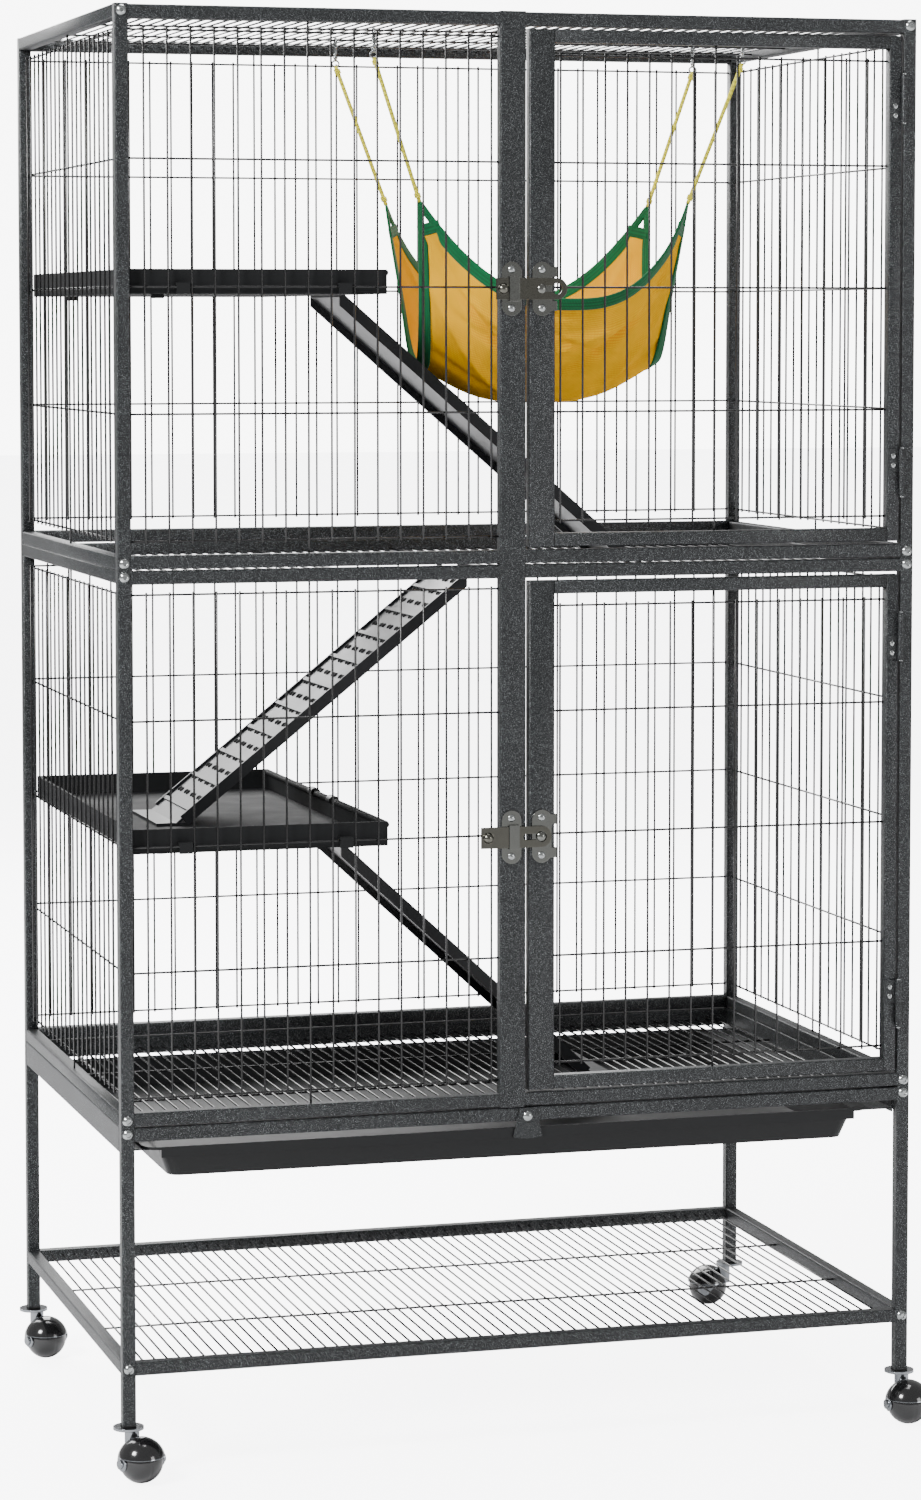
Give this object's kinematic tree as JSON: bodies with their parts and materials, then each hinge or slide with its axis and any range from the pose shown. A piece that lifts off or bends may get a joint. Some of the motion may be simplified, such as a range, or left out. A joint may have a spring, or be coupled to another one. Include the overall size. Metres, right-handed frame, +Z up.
{
  "type": "ferret cage",
  "caption": "Tall wire cage in two sections on a wheeled stand, with hinged doors, slide latches, hanging platforms, ramps, a cloth hammock and a pull-out litter tray.",
  "frame": {"origin": "on the floor, under the middle of the frame's width and depth", "axes": "+Z up, -Y the front with the doors, +X to the right seen from the front"},
  "size_m": [0.8156, 0.5765, 1.3716],
  "materials": {
    "frame_enamel": "charcoal hammered powder coat",
    "wire_enamel": "black gloss powder coat",
    "nickel_steel": "nickel plated",
    "zinc_steel": "bright zinc plated",
    "platform_plastic": "satin",
    "tray_plastic": "satin, lightly grained",
    "socket_plastic": "satin",
    "ball_plastic": "gloss",
    "chrome": "polished",
    "hook_steel": "bright plated",
    "hammock_cloth": "woven, yellow with green binding",
    "hammock_cord": "braided"
  },
  "bodies": {
    "cage": {"upper_front_frame": "frame_enamel", "upper_front_grille": "wire_enamel", "upper_back_panel": "frame_enamel", "upper_left_panel": "frame_enamel", "upper_right_panel": "frame_enamel", "roof_grille": "wire_enamel", "upper_floor_grille": "wire_enamel", "lower_front_frame": "frame_enamel", "lower_front_grille": "wire_enamel", "lower_back_panel": "frame_enamel", "lower_left_panel": "frame_enamel", "lower_right_panel": "frame_enamel", "lower_floor_grille": "wire_enamel", "hinge_post_leaves": "frame_enamel", "hinge_pins": "zinc_steel", "upper_latch_base": "nickel_steel", "lower_latch_base": "nickel_steel", "latch_base_screws": "nickel_steel", "upper_platform": "platform_plastic", "lower_platform": "platform_plastic", "hammock": "hammock_cloth", "hammock_cords": "hammock_cord", "hammock_hooks": "hook_steel", "stand_front_frame": "frame_enamel", "stand_back_frame": "frame_enamel", "stand_side_rails": "frame_enamel", "shelf_side_rails": "frame_enamel", "shelf_grille": "wire_enamel", "tray_runners": "frame_enamel", "tray_catch_screw": "zinc_steel", "caster_sockets": "socket_plastic", "corner_bolts": "zinc_steel"},
    "upper_door": {"upper_door": "frame_enamel", "upper_door_hinge_leaves": "frame_enamel", "upper_door_rivets": "nickel_steel", "upper_latch_keeper": "nickel_steel", "upper_keeper_screws": "nickel_steel"},
    "lower_door": {"lower_door": "frame_enamel", "lower_door_hinge_leaves": "frame_enamel", "lower_door_rivets": "nickel_steel", "lower_latch_keeper": "nickel_steel", "lower_keeper_screws": "nickel_steel"},
    "upper_latch": {"upper_latch_slide": "nickel_steel"},
    "lower_latch": {"lower_latch_slide": "nickel_steel"},
    "tray": {"tray": "tray_plastic"},
    "tray_catch": {"tray_catch": "frame_enamel"},
    "upper_ramp": {"upper_ramp": "platform_plastic"},
    "middle_ramp": {"middle_ramp": "platform_plastic"},
    "lower_ramp": {"lower_ramp": "platform_plastic"},
    "front_left_swivel": {"front_left_caster": "chrome"},
    "front_left_wheel": {"front_left_wheel": "ball_plastic"},
    "front_right_swivel": {"front_right_caster": "chrome"},
    "front_right_wheel": {"front_right_wheel": "ball_plastic"},
    "back_left_swivel": {"back_left_caster": "chrome"},
    "back_left_wheel": {"back_left_wheel": "ball_plastic"},
    "back_right_swivel": {"back_right_caster": "chrome"},
    "back_right_wheel": {"back_right_wheel": "ball_plastic"}
  },
  "joints": [
    {"name": "upper_door_hinge", "type": "hinge", "parent": "cage", "child": "upper_door", "pos_m": [0.38, -0.2573, 1.1116], "axis": [0, 0, 1], "range_deg": [0, 180]},
    {"name": "lower_door_hinge", "type": "hinge", "parent": "cage", "child": "lower_door", "pos_m": [0.38, -0.2573, 0.5916], "axis": [0, 0, 1], "range_deg": [0, 180]},
    {"name": "upper_latch_slide", "type": "slide", "parent": "cage", "child": "upper_latch", "axis": [1, 0, 0], "range_m": [-0.015, 0]},
    {"name": "lower_latch_slide", "type": "slide", "parent": "cage", "child": "lower_latch", "axis": [1, 0, 0], "range_m": [0, 0.015]},
    {"name": "tray_slide", "type": "slide", "parent": "cage", "child": "tray", "axis": [0, -1, 0], "range_m": [0, 0.45]},
    {"name": "tray_catch_turn", "type": "hinge", "parent": "cage", "child": "tray_catch", "pos_m": [0.0013, -0.2553, 0.3228], "axis": [0, 1, 0], "continuous": true},
    {"name": "upper_ramp_lift", "type": "hinge", "parent": "cage", "child": "upper_ramp", "pos_m": [-0.1352, 0, 1.1265], "axis": [0, -1, 0], "range_deg": [0, 3]},
    {"name": "middle_ramp_lift", "type": "hinge", "parent": "cage", "child": "middle_ramp", "pos_m": [0.0005, 0, 0.84], "axis": [0, 1, 0], "range_deg": [0, 21]},
    {"name": "lower_ramp_lift", "type": "hinge", "parent": "cage", "child": "lower_ramp", "pos_m": [-0.1352, 0, 0.6065], "axis": [0, -1, 0], "range_deg": [0, 42]},
    {"name": "front_left_swivel_turn", "type": "hinge", "parent": "cage", "child": "front_left_swivel", "pos_m": [-0.38735, -0.24765, 0.0472], "axis": [0, 0, 1], "continuous": true},
    {"name": "front_left_wheel_spin", "type": "hinge", "parent": "front_left_swivel", "child": "front_left_wheel", "pos_m": [-0.37993, -0.27048, 0.0206], "axis": [0.9511, 0.309, 0], "continuous": true},
    {"name": "front_right_swivel_turn", "type": "hinge", "parent": "cage", "child": "front_right_swivel", "pos_m": [0.38735, -0.24765, 0.0472], "axis": [0, 0, 1], "continuous": true},
    {"name": "front_right_wheel_spin", "type": "hinge", "parent": "front_right_swivel", "child": "front_right_wheel", "pos_m": [0.38735, -0.27165, 0.0206], "axis": [1, 0, 0], "continuous": true},
    {"name": "back_left_swivel_turn", "type": "hinge", "parent": "cage", "child": "back_left_swivel", "pos_m": [-0.38735, 0.24765, 0.0472], "axis": [0, 0, 1], "continuous": true},
    {"name": "back_left_wheel_spin", "type": "hinge", "parent": "back_left_swivel", "child": "back_left_wheel", "pos_m": [-0.37836, 0.2254, 0.0206], "axis": [0.9272, 0.3746, 0], "continuous": true},
    {"name": "back_right_swivel_turn", "type": "hinge", "parent": "cage", "child": "back_right_swivel", "pos_m": [0.38735, 0.24765, 0.0472], "axis": [0, 0, 1], "continuous": true},
    {"name": "back_right_wheel_spin", "type": "hinge", "parent": "back_right_swivel", "child": "back_right_wheel", "pos_m": [0.36656, 0.25965, 0.0206], "axis": [-0.5, -0.866, 0], "continuous": true}
  ]
}
